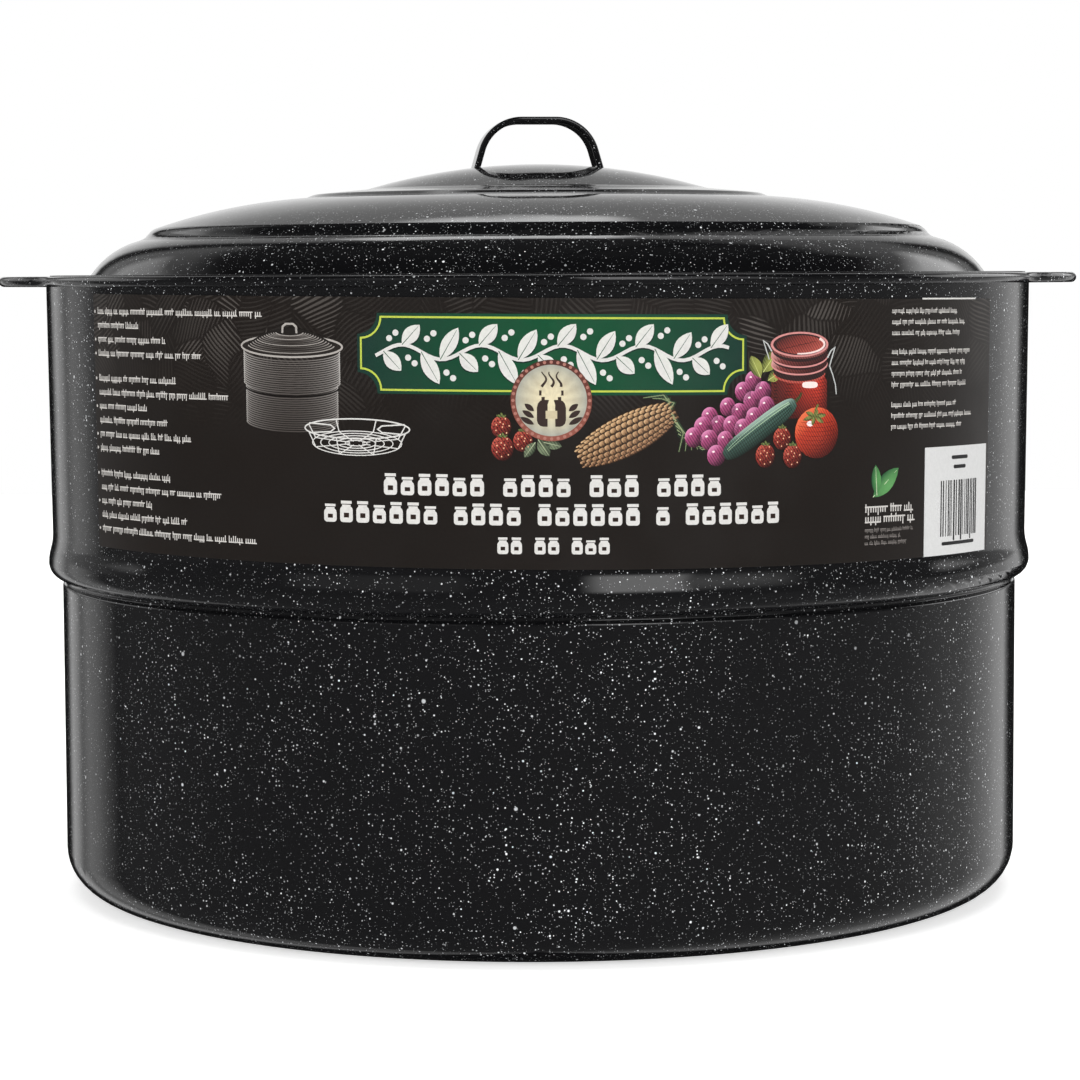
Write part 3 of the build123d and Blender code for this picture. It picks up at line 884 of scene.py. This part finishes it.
def small_mark(art):
    """A pair of leaves beside the lower lines of small print."""
    vein = ink(214, 226, 190)
    leaf(art, (134.0, 169.0), (147.5, 179.5), 7.0, ink(96, 160, 92), ink(34, 84, 52), 1, vein)
    leaf(art, (136.0, 169.6), (135.2, 181.0), 5.0, ink(86, 150, 84), ink(30, 76, 48), 3, vein)


def sticker_print():
    """Plain upright bars and two short lines: they encode nothing."""
    glue, paper = 0.05, 0.15
    art = Print("sticker_print", base=glue + paper)
    rng = random.Random(11)
    black = ink(24, 24, 26)
    u = 173.0
    while u < 199.5:
        width = rng.choice((0.45, 0.7, 1.0))
        low = 152.2 if rng.random() > 0.12 else 150.4
        art.panel([(u, low, 173.5), (u + width, low, 173.5)], even(black), 0, rows=1)
        u += width + rng.choice((0.5, 0.8, 1.2))
    for v, length in ((182.2, 12.0), (178.6, 9.0)):
        art.bar(186.2 - length / 2, v, length, 1.4, black)
    art.bar(174.0, 149.4, 24.0, 1.3, black)
    return art


# ---------------------------------------------------------------- the studio


def make_camera():
    """Level with the lid's edge, looking a little down, as far off as a product shot is taken."""
    eye_level = 0.2536
    data = bpy.data.cameras.new("camera")
    data.lens, data.sensor_width = 108.9, 36.0
    camera = bpy.data.objects.new("camera", data)
    bpy.context.scene.collection.objects.link(camera)
    tilt = Matrix.Rotation(math.radians(90 - 4.67), 4, "X")
    roll = Matrix.Rotation(math.radians(-0.27), 4, "Z")
    camera.matrix_world = Matrix.Translation((0.0005, -1.3726, eye_level)) @ tilt @ roll
    bpy.context.scene.camera = camera


def area_light(name, place, aim, size, power):
    data = bpy.data.lights.new(name, "AREA")
    data.shape, data.size, data.size_y, data.energy = "RECTANGLE", size[0], size[1], power
    light = bpy.data.objects.new(name, data)
    bpy.context.scene.collection.objects.link(light)
    light.location = place
    light.rotation_mode = "QUATERNION"
    light.rotation_quaternion = (Vector(aim) - Vector(place)).to_track_quat("-Z", "Y")
    light.visible_glossy = False
    light.visible_camera = False


SET_AROUND = [   # azimuth in degrees from straight behind, brightness of the set at eye level
    (-180, 0.12), (-120, 0.12), (-80, 0.13), (-66, 0.11), (-61, 0.08), (-58, 0.22), (-55, 0.34), (-50, 0.54),
    (-44, 0.58), (-41, 0.44), (-38.5, 0.32), (-34, 0.66), (-29, 0.76), (-26, 0.40), (-23, 0.05), (-20, 0.01),
    (20, 0.01), (26, 0.02), (29, 0.22), (33, 0.86), (41, 0.92), (46, 0.78), (53, 0.66), (60, 0.44), (72, 0.38),
    (84, 0.25), (104, 0.18), (180, 0.12),
]

SOFTBOXES = [   # azimuth from and to, elevation from and to, softness of the edges in degrees, radiance
    (-11.0, 5.0, 33.5, 42.0, 2.0, 2.1), (0.0, 14.0, 28.0, 42.0, 3.0, 0.5),
    (14.0, 45.0, 26.0, 48.0, 5.0, 0.3), (30.0, 76.0, 9.0, 32.0, 5.0, 2.0),
    (-76.0, -30.0, 9.0, 32.0, 5.0, 1.0), (146.0, 168.0, 11.0, 60.0, 4.0, 3.0),
    (120.0, 150.0, 14.0, 60.0, 8.0, 1.0), (-164.0, -120.0, 11.0, 60.0, 6.0, 0.3),
]


def make_world():
    """A white room to the eye. Gloss sees the set: dark in front, strips at the sides, softboxes above."""
    world = bpy.data.worlds.new("studio")
    bpy.context.scene.world = world
    world.use_nodes = True
    graph = Graph(world.node_tree)
    background = world.node_tree.nodes["Background"]
    way = graph.node("ShaderNodeTexCoord").outputs["Generated"]
    axes = graph.node("ShaderNodeSeparateXYZ", {0: way}).outputs
    turn = graph.math("DEGREES", graph.math("ARCTAN2", axes[0], axes[1]))
    rise = graph.math("DEGREES", graph.math("ARCSINE", axes[2]))
    aside = graph.math("ABSOLUTE", turn)

    around = graph.math("MULTIPLY_ADD", turn, 1 / 360, 0.5)
    low = graph.ramp(around, [(0.5 + azimuth / 360, grey) for azimuth, grey in SET_AROUND])

    boxes = None
    for left, right, foot, top, soft, radiance in SOFTBOXES:
        wide = graph.math("MULTIPLY", graph.fade(turn, left - soft, left + soft),
                          graph.fade(turn, right - soft, right + soft, 1.0, 0.0))
        tall = graph.math("MULTIPLY", graph.fade(rise, foot - soft, foot + soft),
                          graph.fade(rise, top - soft, top + soft, 1.0, 0.0))
        box = graph.math("MULTIPLY", graph.math("MULTIPLY", wide, tall), radiance)
        boxes = box if boxes is None else graph.math("MAXIMUM", boxes, box)
    glow = graph.fade(rise, 4.0, 26.0, 0.88, 0.43)
    glow = graph.math("MULTIPLY", glow, graph.fade(aside, 15.0, 19.0, 1.0, 0.06))
    wings = graph.fade(aside, 20.0, 26.0, 0.0, 0.34)
    wings = graph.math("MULTIPLY", wings, graph.fade(aside, 40.0, 80.0, 1.0, 0.25))
    glow = graph.math("MAXIMUM", glow, wings)
    glow = graph.math("MULTIPLY", glow, graph.fade(rise, 36.0, 44.0, 1.0, 0.10))
    high = graph.math("MAXIMUM", boxes, glow)
    seen = graph.mix(graph.fade(rise, 0.5, 3.0), low, high)

    ray = graph.node("ShaderNodeLightPath").outputs
    gloss = graph.mix(ray["Is Glossy Ray"], (0.36, 0.36, 0.36, 1), seen)
    shown = graph.mix(ray["Is Camera Ray"], gloss, (1, 1, 1, 1))
    graph.tree.links.new(shown, background.inputs["Color"])
    background.inputs["Strength"].default_value = 1.0


def make_floor():
    mesh = bpy.data.meshes.new("floor")
    half = 2.4
    corners = [(-half, -half, 0), (half, -half, 0), (half, half, 0), (-half, half, 0)]
    mesh.from_pydata(corners, [], [(0, 1, 2, 3)])
    floor = bpy.data.objects.new("floor", mesh)
    bpy.context.scene.collection.objects.link(floor)
    floor.location.z = -0.0002
    looks = {"roughness": 0.9, "specular_ior_level": 0.1, "emission_strength": 0.60}
    material, graph, shader, place = new_material("floor", **looks)
    pale = graph.mix(graph.noise(place, 3.0), ink(244, 244, 243), ink(250, 250, 250))
    plug(graph, pale, shader, "Base Color")
    mesh.materials.append(material)
    floor.visible_glossy = False


def make_studio():
    make_camera()
    make_world()
    make_floor()
    middle = (0, 0, 0.17)
    area_light("key_left", (-1.5, -2.2, 1.3), middle, (1.6, 1.6), 20)
    area_light("key_right", (1.6, -2.1, 1.1), middle, (1.6, 1.6), 17)
    area_light("top", (0, 0.2, 2.4), middle, (2.4, 2.4), 27)
    area_light("back", (0.4, 2.4, 1.4), middle, (2.0, 1.6), 19)
    bpy.context.scene.view_settings.view_transform = "Standard"


# ---------------------------------------------------------------- putting it together


def paint_node(name, material):
    mesh = NODES[name].data
    mesh.materials.clear()
    mesh.materials.append(material)


def paint_nodes():
    enamelled, wire = enamel(), plated_wire()
    paper = wrap_paper(WRAP_R, wrap_low[2], wrap_high[2])
    white = sticker_paper()
    for name in NODES:
        if name.startswith("rack_"):
            paint_node(name, wire)
        elif name == "label_wrap":
            paint_node(name, paper)
        elif name == "barcode_sticker":
            paint_node(name, white)
        else:
            paint_node(name, enamelled)


def make_print():
    material, plain = printed_ink("engraved_ink", WRAP_R), plain_ink("line_ink")
    small_print = Print("label_small_print")
    text_blocks(small_print)
    pot_drawing(small_print)
    rack_drawing(small_print)
    small_mark(small_print)
    top_strip(small_print)
    small_print.build(plain, "label_paper")
    headline = Print("label_headline")
    jar_rows(headline)
    headline.build(plain, "label_paper")
    food = Print("label_produce")
    produce(food)
    food.build(material, "label_paper")
    title = Print("label_plaque")
    plaque(title)
    rosette(title)
    title.build(plain, "label_paper")
    sticker_print().build(plain, "sticker_paper")


make_studio()
paint_nodes()
make_print()
